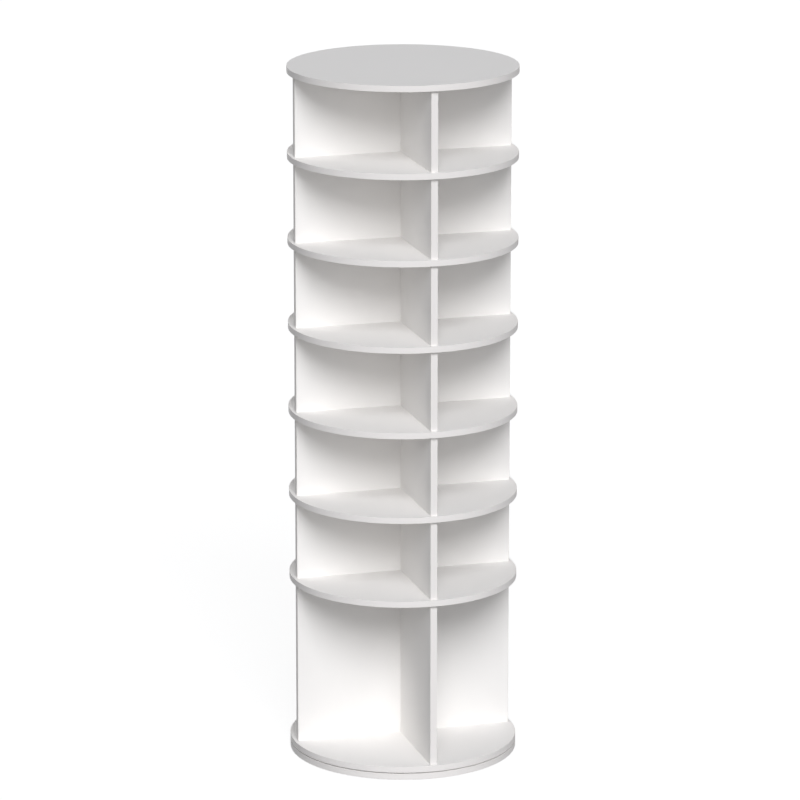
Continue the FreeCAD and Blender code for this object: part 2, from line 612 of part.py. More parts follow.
def cover_cap():
    """A thin round cap with a fin that presses into the cam lock's recess."""
    body = new_body("cover_cap")
    cap_radius = "Sizes.cam_diameter / 2 + Sizes.cap_overlap"
    cylinder(body, "cap_disc", cap_radius, "Sizes.cap_thickness", rotation=AXIS_TO_Y)
    fin_length = "(Sizes.cam_recess_length - 4 * Sizes.fit_clearance)"
    fin_width = "(Sizes.cam_recess_width - 4 * Sizes.fit_clearance)"
    box(
        body, "cap_fin", "0", "-Sizes.cap_stem_length / 2", f"-{fin_width} / 2",
        fin_length, "Sizes.cap_stem_length", fin_width,
    )
    return body


def cam_places():
    """Every cam lock: two on each arm of each tier, one for each end of the divider."""
    places = []
    for floor, height in zip(TIER_FLOORS, TIER_HEIGHTS):
        low = f"{floor} + Sizes.cam_distance"
        high = f"{floor} + {height} - Sizes.cam_distance"
        for z, flip in ((low, NO_TURN), (high, TURN_OVER)):
            for side in ("", "-"):
                places.append((f"{side}{CAM_REACH}", HALF_DIVIDER, z, flip))
            for side, sign, cam_side in (("front", "-", ""), ("rear", "", "-")):
                turn = FreeCAD.Rotation(UP, ARM_ANGLES[side]).multiply(flip)
                places.append((f"{cam_side}{HALF_DIVIDER}", f"{sign}{CAM_REACH}", z, turn))
    return places


# Cam bolts, drawn along Z.

HEAD_END = "(Sizes.cam_distance - Sizes.bolt_head_gap)"
HEAD_RADIUS = "Sizes.bolt_head_diameter / 2"
NECK_RADIUS = "Sizes.bolt_neck_diameter / 2"
SHANK_RADIUS = "Sizes.bolt_diameter / 2"
NECK_START = "(Sizes.cam_diameter / 2 - Sizes.bolt_head_gap + Sizes.bolt_neck_length)"


def shelf_bolt():
    """Double-ended: it passes through a shelf and a cam lock pulls on each end; its middle is at zero."""
    body = new_body("shelf_bolt")
    reach = f"(Sizes.board_thickness / 2 + {HEAD_END})"
    shank_reach = f"({reach} - {NECK_START})"
    neck_reach = f"({reach} - Sizes.bolt_head_length / 2)"
    cylinder(body, "bolt_shank", SHANK_RADIUS, f"2 * {shank_reach}", z=f"-{shank_reach}")
    cylinder(body, "bolt_necks", NECK_RADIUS, f"2 * {neck_reach}", z=f"-{neck_reach}")
    cylinder(body, "upper_head", HEAD_RADIUS, "Sizes.bolt_head_length", z=f"{reach} - Sizes.bolt_head_length")
    cylinder(body, "lower_head", HEAD_RADIUS, "Sizes.bolt_head_length", z=f"-{reach}")
    return body


def screw_in_bolt():
    """Single-ended: it screws into a board whose face is at zero; the thread is a plain shank."""
    body = new_body("screw_in_bolt")
    shank_length = f"Sizes.bolt_thread_length + {HEAD_END} - {NECK_START}"
    neck_length = f"{HEAD_END} - Sizes.bolt_head_length / 2"
    cylinder(body, "screw_in_shank", SHANK_RADIUS, shank_length, z="-Sizes.bolt_thread_length")
    cylinder(body, "screw_in_neck", NECK_RADIUS, neck_length)
    head_bottom = f"{HEAD_END} - Sizes.bolt_head_length"
    cylinder(body, "screw_in_head", HEAD_RADIUS, "Sizes.bolt_head_length", z=head_bottom)
    return body


def dowel(name, length):
    """A beech dowel with chamfered ends, standing on zero."""
    body = new_body(name)
    rod = cylinder(body, f"{name}_rod", "Sizes.dowel_diameter / 2", length)
    document.recompute()
    rims = []
    for number, edge in enumerate(rod.Shape.Edges, start=1):
        if isinstance(edge.Curve, Part.Circle):
            rims.append(f"Edge{number}")
    chamfer = body.newObject("PartDesign::Chamfer", f"{name}_ends")
    chamfer.Base = (rod, rims)
    chamfer.setExpression("Size", "Sizes.dowel_chamfer")
    return body


def make_fasteners():
    cam = cam_lock()
    cap = cover_cap()
    places = cam_places()
    repeat("cam_locks", [(cam, *place) for place in places])
    repeat("cam_cover_caps", [(cap, *place) for place in places])

    shelf_levels = BOARD_LEVELS[:-1]
    top_level = BOARD_LEVELS[-1]
    bolt = shelf_bolt()
    end_bolt = screw_in_bolt()
    bolts = []
    for level in shelf_levels:
        middle = f"{level} + Sizes.board_thickness / 2"
        bolts.extend((bolt, x, y, middle, NO_TURN) for x, y in on_arms(CAM_REACH))
    repeat("shelf_cam_bolts", bolts)
    repeat("turning_board_cam_bolts", [(end_bolt, x, y, BAY_FLOOR, NO_TURN) for x, y in on_arms(CAM_REACH)])
    repeat("top_board_cam_bolts", [(end_bolt, x, y, top_level, TURN_OVER) for x, y in on_arms(CAM_REACH)])

    shelf_dowel = dowel("shelf_dowel", "Sizes.board_thickness + 2 * Sizes.dowel_bite")
    end_dowel = dowel("end_dowel", "Sizes.dowel_board_bite + Sizes.dowel_bite")
    centre_dowel = dowel("centre_dowel", "Sizes.divider_thickness + 2 * Sizes.dowel_bite")
    dowels = []
    for level in shelf_levels:
        dowels.extend(
            (shelf_dowel, x, y, f"{level} - Sizes.dowel_bite", NO_TURN) for x, y in on_arms(DOWEL_REACH)
        )
    repeat("shelf_dowels", dowels)
    turning_level = f"{BAY_FLOOR} - Sizes.dowel_board_bite"
    top_dowel_level = f"{top_level} - Sizes.dowel_bite"
    turning_dowels = [(end_dowel, x, y, turning_level, NO_TURN) for x, y in on_arms(DOWEL_REACH)]
    top_dowels = [(end_dowel, x, y, top_dowel_level, NO_TURN) for x, y in on_arms(DOWEL_REACH)]
    repeat("turning_board_dowels", turning_dowels)
    repeat("top_board_dowels", top_dowels)

    centre_start = f"-{HALF_DIVIDER} - Sizes.dowel_bite"
    centre_dowels = []
    for floor, height in zip(TIER_FLOORS, TIER_HEIGHTS):
        for level in centre_levels(height):
            middle = f"{floor} + {height} / 2 + {level}"
            centre_dowels.append((centre_dowel, "0", centre_start, middle, AXIS_TO_Y))
    repeat("centre_dowels", centre_dowels)


SMALLEST_CUT = 0.01


def check_model():
    """Stops on a failed object, a bad shape, or a cut that takes nothing away."""
    for thing in document.Objects:
        if "Invalid" in thing.State or "Error" in thing.State:
            raise RuntimeError(f"{thing.Label} failed: {thing.State}")
        cuts = "Pocket" in thing.TypeId or "Subtractive" in thing.TypeId
        if cuts and thing.Shape.Volume > thing.BaseFeature.Shape.Volume - SMALLEST_CUT:
            raise RuntimeError(f"{thing.Label} cuts nothing")
    for piece in parts:
        if piece.Shape.isNull() or not piece.Shape.isValid():
            raise RuntimeError(f"{piece.Label} has no good shape")


def write_parts():
    os.makedirs("parts", exist_ok=True)
    for piece in parts:
        piece.Shape.exportStep(f"parts/{piece.Label}.step")


make_foot_pads()
make_boards()
make_dividers()
make_divider_bands()
make_turntable()
make_fasteners()
document.recompute()
check_model()
write_parts()
print(f"{len(parts)} parts, {sum(len(piece.Shape.Solids) for piece in parts)} solids")
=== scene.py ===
import math

import bmesh
import bpy
from mathutils import Matrix, Vector


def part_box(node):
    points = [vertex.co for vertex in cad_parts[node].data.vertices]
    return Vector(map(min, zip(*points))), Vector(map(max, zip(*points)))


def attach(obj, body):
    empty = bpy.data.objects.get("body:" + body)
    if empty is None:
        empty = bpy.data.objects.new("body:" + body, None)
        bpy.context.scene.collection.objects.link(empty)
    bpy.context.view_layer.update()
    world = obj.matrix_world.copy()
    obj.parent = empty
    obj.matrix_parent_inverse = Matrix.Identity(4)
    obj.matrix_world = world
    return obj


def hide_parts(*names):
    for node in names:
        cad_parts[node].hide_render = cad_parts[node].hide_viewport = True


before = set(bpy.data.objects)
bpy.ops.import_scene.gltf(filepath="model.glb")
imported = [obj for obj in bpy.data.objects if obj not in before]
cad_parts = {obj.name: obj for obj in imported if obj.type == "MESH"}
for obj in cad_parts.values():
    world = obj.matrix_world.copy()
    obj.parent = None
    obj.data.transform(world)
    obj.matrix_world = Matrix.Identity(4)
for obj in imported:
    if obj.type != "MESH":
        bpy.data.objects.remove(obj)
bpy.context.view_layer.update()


# Anti-slip pads.  Six discs punched from black rubber sheet and glued under the base board near its rim.
# Shallow rings pressed into the underside grip the floor.

PAD_COUNT = 6
PAD_RADIUS = 0.018
PAD_STEPS = 64
PAD_EDGE = 0.0004
PAD_LAND = 0.0029
PAD_GROOVE = 0.0012
PAD_GROOVE_DEPTH = 0.0004
PAD_GROOVES = 3
PAD_COLOUR = (0.035, 0.035, 0.037, 1)
DRIFTS_PER_METRE = 2.7
CRISP_CORNER = math.radians(35)


def feed(tree, socket, source):
    """Joins a shader socket to another, or gives it a value."""
    if isinstance(source, bpy.types.NodeSocket):
        tree.links.new(source, socket)
    else:
        socket.default_value = source


def add_node(tree, kind, inputs, **settings):
    made = tree.nodes.new(kind)
    for name, setting in settings.items():
        setattr(made, name, setting)
    for name, source in inputs.items():
        feed(tree, made.inputs[name], source)
    return made


def reckon(tree, operation, *values):
    """One step of arithmetic on numbers."""
    return add_node(tree, "ShaderNodeMath", dict(enumerate(values)), operation=operation).outputs[0]


def mix_colours(tree, share, first, second):
    factor, colour_a, colour_b, result = 0, 6, 7, 2
    inputs = {factor: share, colour_a: first, colour_b: second}
    return add_node(tree, "ShaderNodeMix", inputs, data_type="RGBA").outputs[result]


def new_group(name, inputs, outputs):
    """A shader node group: its tree, what it is given, and where its result goes."""
    tree = bpy.data.node_groups.new(name, "ShaderNodeTree")
    for side, sockets in (("INPUT", inputs), ("OUTPUT", outputs)):
        for label, kind in sockets.items():
            tree.interface.new_socket(label, in_out=side, socket_type=f"NodeSocket{kind}")
    return tree, tree.nodes.new("NodeGroupInput").outputs, tree.nodes.new("NodeGroupOutput").inputs


def make_fine_grain():
    """A tint that drifts slowly over the piece, and a small even grain in roughness and height."""
    tree, given, result = new_group(
        "fine_grain",
        {"Vector": "Vector", "Colour": "Color", "Drift": "Float", "Grain per metre": "Float",
         "Roughness": "Float", "Roughness range": "Float"},
        {"Colour": "Color", "Roughness": "Float", "Height": "Float"},
    )
    place = given["Vector"]
    drift_inputs = {"Vector": place, "Scale": DRIFTS_PER_METRE, "Detail": 2.0}
    drift = add_node(tree, "ShaderNodeTexNoise", drift_inputs).outputs["Fac"]
    grain_inputs = {"Vector": place, "Scale": given["Grain per metre"], "Detail": 3.0, "Roughness": 0.6}
    grain = add_node(tree, "ShaderNodeTexNoise", grain_inputs).outputs["Fac"]
    drift_from_middle = reckon(tree, "SUBTRACT", drift, 0.5)
    lightness = reckon(tree, "MULTIPLY_ADD", drift_from_middle, given["Drift"], 1.0)
    tint_inputs = {0: given["Colour"], "Scale": lightness}
    tint = add_node(tree, "ShaderNodeVectorMath", tint_inputs, operation="SCALE")
    grain_from_middle = reckon(tree, "SUBTRACT", grain, 0.5)
    roughness = reckon(
        tree, "MULTIPLY_ADD", grain_from_middle, given["Roughness range"], given["Roughness"]
    )
    feed(tree, result["Colour"], tint.outputs[0])
    feed(tree, result["Roughness"], roughness)
    feed(tree, result["Height"], grain)
    return tree


fine_grain = make_fine_grain()


def new_material(name):
    """A material: itself, its tree, its shader and the Object coordinates."""
    material = bpy.data.materials.new(name)
    material.use_nodes = True
    tree = material.node_tree
    place = tree.nodes.new("ShaderNodeTexCoord").outputs["Object"]
    return material, tree, tree.nodes["Principled BSDF"], place


def grained_material(name, colour, drift, grain, roughness, roughness_range, relief):
    """One plain finish with fine grain; relief is the grain's height in metres."""
    material, tree, shader, place = new_material(name)
    grain_inputs = {"Vector": place, "Colour": colour, "Drift": drift, "Grain per metre": grain,
                    "Roughness": roughness, "Roughness range": roughness_range}
    skin = add_node(tree, "ShaderNodeGroup", grain_inputs, node_tree=fine_grain).outputs
    bump = add_node(tree, "ShaderNodeBump", {"Height": skin["Height"], "Distance": relief})
    feed(tree, shader.inputs["Base Color"], skin["Colour"])
    feed(tree, shader.inputs["Roughness"], skin["Roughness"])
    feed(tree, shader.inputs["Normal"], bump.outputs["Normal"])
    return material


def new_piece(name, shape, *materials):
    """A finished piece from a bmesh in the tower's frame, with faces outwards and corners crisp."""
    bmesh.ops.recalc_face_normals(shape, faces=shape.faces)
    mesh = bpy.data.meshes.new(name)
    shape.to_mesh(mesh)
    shape.free()
    mesh.shade_smooth()
    mesh.set_sharp_from_angle(angle=CRISP_CORNER)
    for material in materials:
        mesh.materials.append(material)
    piece = bpy.data.objects.new(name, mesh)
    bpy.context.scene.collection.objects.link(piece)
    flat_faces = piece.modifiers.new("flat_faces_stay_flat", "WEIGHTED_NORMAL")
    flat_faces.keep_sharp = True
    return piece


def round_edges(shape, edges, radius, segments):
    bmesh.ops.bevel(
        shape, geom=edges, offset=radius, offset_type="OFFSET", segments=segments, profile=0.5,
        affect="EDGES", material=-1, clamp_overlap=True,
    )


def make_pads():
    low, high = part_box("foot_pads")
    pads = bmesh.new()
    for number in range(PAD_COUNT):
        turn = Matrix.Rotation(math.tau * number / PAD_COUNT, 4, "Z")
        place = turn @ Matrix.Translation((high.x - PAD_RADIUS, 0, low.z))
        disc = bmesh.ops.create_circle(
            pads, cap_ends=True, segments=PAD_STEPS, radius=PAD_RADIUS, matrix=place
        )
        underside = disc["verts"][0].link_faces[0]
        raised = bmesh.ops.extrude_face_region(pads, geom=[underside], use_keep_orig=True)["geom"]
        top = [item for item in raised if isinstance(item, bmesh.types.BMVert)]
        bmesh.ops.translate(pads, verts=top, vec=(0, 0, high.z - low.z))
        rims = list(underside.edges) + [item for item in raised if isinstance(item, bmesh.types.BMEdge)]
        for _ in range(PAD_GROOVES):
            for width, step in ((PAD_LAND, 0), (PAD_EDGE, PAD_GROOVE_DEPTH), (PAD_GROOVE, 0),
                                (PAD_EDGE, -PAD_GROOVE_DEPTH)):
                bmesh.ops.inset_region(pads, faces=[underside], thickness=width)
                bmesh.ops.translate(pads, verts=underside.verts, vec=(0, 0, step))
        round_edges(pads, rims, PAD_EDGE, segments=2)
    rubber = grained_material(
        "black_rubber", PAD_COLOUR, drift=0.2, grain=900.0, roughness=0.78, roughness_range=0.2,
        relief=0.00008,
    )
    piece = new_piece("anti_slip_pads", pads, rubber)
    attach(piece, "base")
    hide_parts("foot_pads")


make_pads()


# Round boards.  Nine discs sawn from particle board with a matte white melamine face on both sides.
# The raw core shows only where a board is bored or routed, and before its edge band is glued on.

BOARD_COLOUR = (0.915, 0.897, 0.876, 1)
BOARD_DRIFT = 0.03
BOARD_GRAIN_PER_METRE = 1100.0
BOARD_ROUGHNESS = 0.57
BOARD_ROUGHNESS_RANGE = 0.16
BOARD_GLOSS = 0.07
BOARD_RELIEF = 0.00002
FACE_THICKNESS = 0.0002
FACE_GRAIN_SHARE = 0.5
CORE_RELIEF = 6.0
CORE_EXTRA_ROUGHNESS = 0.4
CHIPS_PER_METRE = 420.0
DUST_PER_METRE = 1800.0
DUST_SHARE = 0.4
CHIP_LIGHT = (0.52, 0.37, 0.21, 1)
CHIP_DARK = (0.25, 0.155, 0.08, 1)
SHELVES = [f"shelf_{number}" for number in range(1, 7)]
ROUND_BOARDS = ["base_board", "turning_board", *SHELVES, "top_board"]


def make_chip_core():
    """Raw particle board: pressed chips of several tans, and dust between them."""
    tree, given, result = new_group(
        "chip_core",
        {"Vector": "Vector", "Light": "Color", "Dark": "Color"},
        {"Colour": "Color", "Height": "Float"},
    )
    place = given["Vector"]
    chips = add_node(tree, "ShaderNodeTexVoronoi", {"Vector": place, "Scale": CHIPS_PER_METRE})
    chip = add_node(tree, "ShaderNodeSeparateColor", {"Color": chips.outputs["Color"]}).outputs["Red"]
    dust_inputs = {"Vector": place, "Scale": DUST_PER_METRE, "Detail": 2.0}
    dust = add_node(tree, "ShaderNodeTexNoise", dust_inputs).outputs["Fac"]
    chip_shade = reckon(tree, "MULTIPLY", chip, 1 - DUST_SHARE)
    shade = reckon(tree, "MULTIPLY_ADD", dust, DUST_SHARE, chip_shade)
    feed(tree, result["Colour"], mix_colours(tree, shade, given["Dark"], given["Light"]))
    feed(tree, result["Height"], shade)
    return tree


chip_core = make_chip_core()


def board_material(name, across, middle, thickness):
    """White faces over a raw core; across is the axis of the thickness, and middle its level there."""
    material, tree, shader, place = new_material(name)
    grain_inputs = {"Vector": place, "Colour": BOARD_COLOUR, "Drift": BOARD_DRIFT,
                    "Grain per metre": BOARD_GRAIN_PER_METRE, "Roughness": BOARD_ROUGHNESS,
                    "Roughness range": BOARD_ROUGHNESS_RANGE}
    skin = add_node(tree, "ShaderNodeGroup", grain_inputs, node_tree=fine_grain).outputs
    core_inputs = {"Vector": place, "Light": CHIP_LIGHT, "Dark": CHIP_DARK}
    core = add_node(tree, "ShaderNodeGroup", core_inputs, node_tree=chip_core).outputs
    level = add_node(tree, "ShaderNodeSeparateXYZ", {"Vector": place}).outputs[across]
    from_middle = reckon(tree, "ABSOLUTE", reckon(tree, "SUBTRACT", level, middle))
    raw = reckon(tree, "LESS_THAN", from_middle, thickness / 2 - FACE_THICKNESS)
    roughness = reckon(tree, "MULTIPLY_ADD", raw, CORE_EXTRA_ROUGHNESS, skin["Roughness"])
    core_relief = reckon(tree, "MULTIPLY", reckon(tree, "MULTIPLY", raw, CORE_RELIEF), core["Height"])
    height = reckon(tree, "MULTIPLY_ADD", skin["Height"], FACE_GRAIN_SHARE, core_relief)
    bump = add_node(tree, "ShaderNodeBump", {"Height": height, "Distance": BOARD_RELIEF})
    shader.inputs["Specular IOR Level"].default_value = BOARD_GLOSS
    feed(tree, shader.inputs["Base Color"], mix_colours(tree, raw, skin["Colour"], core["Colour"]))
    feed(tree, shader.inputs["Roughness"], roughness)
    feed(tree, shader.inputs["Normal"], bump.outputs["Normal"])
    return material


def finish_round_boards():
    for board in ROUND_BOARDS:
        low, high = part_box(board)
        melamine = board_material(f"melamine_{board}", "Z", (low.z + high.z) / 2, high.z - low.z)
        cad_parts[board].data.materials.clear()
        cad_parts[board].data.materials.append(melamine)


finish_round_boards()


# Edge bands of the round boards.  A white plastic strip a millimetre thick, glued round each disc in one
# length, trimmed flush and eased along both corners; a hair of glue shows where it meets the board.

BAND_THICKNESS = 0.001
BAND_EASE = 0.0004
BAND_EASE_STEPS = 3
BAND_STEPS = 288
GLUE_WIDTH = 0.0003
GLUE_SINK = 0.00004
BAND_COLOUR = (0.862, 0.834, 0.812, 1)
BAND_GLOSS = 0.1
GLUE_COLOUR = (0.5, 0.47, 0.42, 1)

band_plastic = grained_material(
    "white_edge_band", BAND_COLOUR, drift=0.02, grain=700.0, roughness=0.47, roughness_range=0.1,
    relief=0.00001,
)
band_plastic.node_tree.nodes["Principled BSDF"].inputs["Specular IOR Level"].default_value = BAND_GLOSS
glue = grained_material(
    "hot_melt_glue", GLUE_COLOUR, drift=0.1, grain=900.0, roughness=0.5, roughness_range=0.1,
    relief=0.00002,
)


def spin_ring(shape, inner, outer, low, high):
    """A closed ring of rectangular section; gives back its new edges."""
    places = ((inner, 0, low), (outer, 0, low), (outer, 0, high), (inner, 0, high))
    corners = [shape.verts.new(place) for place in places]
    section = [shape.edges.new((start, end)) for start, end in zip(corners, corners[1:] + corners[:1])]
    before = set(shape.edges) - set(section)
    bmesh.ops.spin(
        shape, geom=corners + section, cent=(0, 0, 0), axis=(0, 0, 1), angle=math.tau,
        steps=BAND_STEPS, use_merge=True,
    )
    return [edge for edge in shape.edges if edge not in before]


def make_rim_band(board):
    low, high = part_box(f"{board}_edge_band")
    outer = high.x
    inner = outer - BAND_THICKNESS
    band = bmesh.new()
    corners = []
    for edge in spin_ring(band, inner, outer, low.z, high.z):
        start, end = (vertex.co for vertex in edge.verts)
        on_the_outside = min(start.xy.length, end.xy.length) > (inner + outer) / 2
        if on_the_outside and abs(start.z - end.z) < BAND_EASE:
            corners.append(edge)
    round_edges(band, corners, BAND_EASE, BAND_EASE_STEPS)
    strip_faces = set(band.faces)
    spin_ring(band, inner - GLUE_WIDTH, inner, low.z + GLUE_SINK, high.z - GLUE_SINK)
    for face in band.faces:
        face.material_index = 0 if face in strip_faces else 1
    piece = new_piece(f"{board}_band", band, band_plastic, glue)
    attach(piece, "base" if board == "base_board" else "tower")
    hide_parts(f"{board}_edge_band")


for board in ROUND_BOARDS:
    make_rim_band(board)


# Dividers.  In each tier one board stands right across and a half board stands before and behind it,
# all of the same melamine board as the shelves, bored from their ends for the bolts and dowels.

TIERS = range(1, 8)


def finish_dividers():
    for family, across in (("long", "Y"), ("front", "X"), ("rear", "X")):
        low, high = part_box(f"{family}_divider_1")
        thickness = (high - low)["XYZ".index(across)]
        melamine = board_material(f"melamine_{family}_dividers", across, 0.0, thickness)
        for tier in TIERS:
            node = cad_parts[f"{family}_divider_{tier}"]
            node.data.materials.clear()
            node.data.materials.append(melamine)


finish_dividers()


# Edge bands of the dividers.  The same white strip as on the shelves, glued on each outer upright edge
# and eased along its two outer corners; the upper and lower ends stand against the shelves.

DIVIDER_ARMS = {"long": (0, 180), "front": (270,), "rear": (90,)}


def make_divider_bands(family):
    strips = bmesh.new()
    thickness = 2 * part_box("long_divider_1")[1].y
    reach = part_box("long_divider_edge_bands")[1].x
    for tier in TIERS:
        low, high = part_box(f"{family}_divider_{tier}")
        for angle in DIVIDER_ARMS[family]:
            middle = Vector((reach - BAND_THICKNESS / 2, 0, (low.z + high.z) / 2))
            size = Matrix.Diagonal((BAND_THICKNESS, thickness, high.z - low.z, 1))
            place = Matrix.Rotation(math.radians(angle), 4, "Z") @ Matrix.Translation(middle) @ size
            corners = bmesh.ops.create_cube(strips, size=1, matrix=place)["verts"]
            outer = {vertex for vertex in corners if vertex.co.xy.length > reach - BAND_THICKNESS / 4}
            upright = [
                edge for edge in {edge for vertex in outer for edge in vertex.link_edges}
                if set(edge.verts) <= outer
                and abs(edge.verts[0].co.z - edge.verts[1].co.z) > BAND_THICKNESS
            ]
            round_edges(strips, upright, BAND_EASE, BAND_EASE_STEPS)
    piece = new_piece(f"{family}_divider_bands", strips, band_plastic)
    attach(piece, "tower")
    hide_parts(f"{family}_divider_edge_bands")


for family in DIVIDER_ARMS:
    make_divider_bands(family)


# Bearing rings.  Two rings turned from aluminium with the ball groove between them.  The lower one lies
# in the base board's recess and the upper one hangs under the turning board, each on four screws.

ALUMINIUM_COLOUR = (0.77, 0.775, 0.78, 1)
ALUMINIUM_ROUGHNESS = 0.22
TOOL_MARKS_PER_METRE = 2600.0
TOOL_MARK_ROUGHNESS = 0.15
TOOL_MARK_DEPTH = 0.00003


def turned_metal(name, colour, roughness):
    """Bright metal with the fine rings that a lathe tool leaves round the Z axis."""
    material, tree, shader, place = new_material(name)
    flat = add_node(tree, "ShaderNodeVectorMath", {0: place, 1: (1, 1, 0)}, operation="MULTIPLY")
    reach = add_node(tree, "ShaderNodeVectorMath", {0: flat.outputs[0]}, operation="LENGTH")
    ring_inputs = {"W": reach.outputs["Value"], "Scale": TOOL_MARKS_PER_METRE, "Detail": 2.0}
    marks = add_node(tree, "ShaderNodeTexNoise", ring_inputs, noise_dimensions="1D").outputs["Fac"]
    grain_inputs = {"Vector": place, "Colour": colour, "Drift": 0.12, "Grain per metre": 500.0,
                    "Roughness": roughness, "Roughness range": 0.12}
    skin = add_node(tree, "ShaderNodeGroup", grain_inputs, node_tree=fine_grain).outputs
    bump = add_node(tree, "ShaderNodeBump", {"Height": marks, "Distance": TOOL_MARK_DEPTH})
    marked = reckon(tree, "MULTIPLY_ADD", marks, TOOL_MARK_ROUGHNESS, skin["Roughness"])
    feed(tree, shader.inputs["Base Color"], skin["Colour"])
    feed(tree, shader.inputs["Roughness"], marked)
    feed(tree, shader.inputs["Normal"], bump.outputs["Normal"])
    shader.inputs["Metallic"].default_value = 1.0
    return material


def finish_bearing_rings():
    aluminium = turned_metal("turned_aluminium", ALUMINIUM_COLOUR, ALUMINIUM_ROUGHNESS)
    for ring in ("lower_turntable_ring", "upper_turntable_ring"):
        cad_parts[ring].data.materials.clear()
        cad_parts[ring].data.materials.append(aluminium)


finish_bearing_rings()


# Bearing balls.  Thirty-six hardened steel balls, ground and polished, that run in the groove between
# the two rings.

BALL_COUNT = 36
BALL_RADIUS = 0.0025
RACE_RADIUS = 0.131
STEEL_COLOUR = (0.63, 0.635, 0.64, 1)


def metal_material(name, colour, drift, grain, roughness, roughness_range, relief):
    material = grained_material(name, colour, drift, grain, roughness, roughness_range, relief)
    material.node_tree.nodes["Principled BSDF"].inputs["Metallic"].default_value = 1.0
    return material


def round_the_axis(count, reach, level):
    """Places at even steps round the tower's axis, each with its X pointing outwards."""
    outwards = Matrix.Translation((reach, 0, level))
    return [Matrix.Rotation(math.tau * number / count, 4, "Z") @ outwards for number in range(count)]


def make_balls():
    low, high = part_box("turntable_balls")
    balls = bmesh.new()
    for place in round_the_axis(BALL_COUNT, RACE_RADIUS, (low.z + high.z) / 2):
        bmesh.ops.create_uvsphere(balls, u_segments=24, v_segments=14, radius=BALL_RADIUS, matrix=place)
    steel = metal_material(
        "polished_steel", STEEL_COLOUR, drift=0.05, grain=1500.0, roughness=0.1, roughness_range=0.06,
        relief=0.000002,
    )
    piece = new_piece("bearing_balls", balls, steel)
    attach(piece, "ball_cage")
    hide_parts("turntable_balls")


make_balls()


# Ball cage.  A thin strip of natural nylon with a round window for each ball, rolled up and joined into
# a ring that floats between the bearing rings.

CAGE_HEIGHT = 0.0064
CAGE_WALL = 0.0006
WINDOW_RADIUS = 0.0027
CELLS_PER_WINDOW = 16
CAGE_ROWS = 6
NYLON_COLOUR = (0.71, 0.68, 0.6, 1)


def flat_sheet(length, width, columns, rows):
    """A sheet of even faces in the XY plane, from zero to its length along X."""
    sheet = bmesh.new()
    size = Matrix.Translation((length / 2, 0, 0)) @ Matrix.Diagonal((length, width, 1, 1))
    bmesh.ops.create_grid(sheet, x_segments=columns, y_segments=rows, size=0.5, matrix=size)
    return sheet


def open_hole(sheet, middle, radius):
    """Cuts a round hole and draws its rim onto the circle."""
    cut = {face for face in sheet.faces if (face.calc_center_median() - middle).length < radius}
    rim = {vertex for face in cut for vertex in face.verts if not cut >= set(vertex.link_faces)}
    bmesh.ops.delete(sheet, geom=list(cut), context="FACES")
    for vertex in rim:
        vertex.co = middle + (vertex.co - middle).normalized() * radius


def roll_up(sheet, radius):
    """Rolls a flat sheet into a tube about Z."""
    for vertex in sheet.verts:
        turn = vertex.co.x / radius
        vertex.co = (radius * math.cos(turn), radius * math.sin(turn), vertex.co.y)
    bmesh.ops.remove_doubles(sheet, verts=sheet.verts, dist=1e-6)
    bmesh.ops.recalc_face_normals(sheet, faces=sheet.faces)


def make_cage():
    low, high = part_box("ball_cage")
    outer = RACE_RADIUS + CAGE_WALL / 2
    pitch = math.tau * outer / BALL_COUNT
    strip = flat_sheet(pitch * BALL_COUNT, CAGE_HEIGHT, CELLS_PER_WINDOW * BALL_COUNT, CAGE_ROWS)
    for number in range(BALL_COUNT):
        open_hole(strip, Vector((pitch * (number + 0.5), 0, 0)), WINDOW_RADIUS)
    roll_up(strip, outer)
    bmesh.ops.solidify(strip, geom=strip.faces[:], thickness=CAGE_WALL)
    to_balls = Matrix.Rotation(-math.pi / BALL_COUNT, 4, "Z")
    to_level = Matrix.Translation((0, 0, (low.z + high.z) / 2))
    bmesh.ops.transform(strip, matrix=to_level @ to_balls, verts=strip.verts)
    nylon = grained_material(
        "natural_nylon", NYLON_COLOUR, drift=0.1, grain=700.0, roughness=0.5, roughness_range=0.15,
        relief=0.00001,
    )
    piece = new_piece("nylon_ball_cage", strip, nylon)
    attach(piece, "ball_cage")
    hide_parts("ball_cage")


make_cage()


# Ring screws.  Eight countersunk wood screws of zinc-plated steel with a cross recess.  Four hold the
# lower ring down on the base board, and four hold the upper ring up under the turning board.

SCREW_HEAD_RADIUS = 0.0035
SCREW_HEAD_LIP = 0.0002
SCREW_RADIUS = 0.00175
SCREW_ROOT = 0.00125
SCREW_LENGTH = 0.016
SCREW_PLAIN_LENGTH = 0.004
SCREW_RUN_IN = 0.0006
SCREW_TAPER_START = 0.0128
SCREW_THREAD_END = 0.0135
SCREW_PITCH = 0.0016
SCREW_RIDGE_SINK = 0.9
SCREW_STEPS = 24
THREAD_STEPS = 16
CROSS_LENGTH = 0.0038
CROSS_WIDTH = 0.0007
CROSS_DEPTH = 0.0014
CROSS_TAPER = 0.7
LOWER_SCREW_REACH = 0.1408
UPPER_SCREW_REACH = 0.1202
SCREW_COUNT = 4
ZINC_PLATE_COLOUR = (0.66, 0.67, 0.675, 1)

zinc_plate = metal_material(
    "zinc_plated_steel", ZINC_PLATE_COLOUR, drift=0.25, grain=650.0, roughness=0.27,
    roughness_range=0.22, relief=0.00001,
)


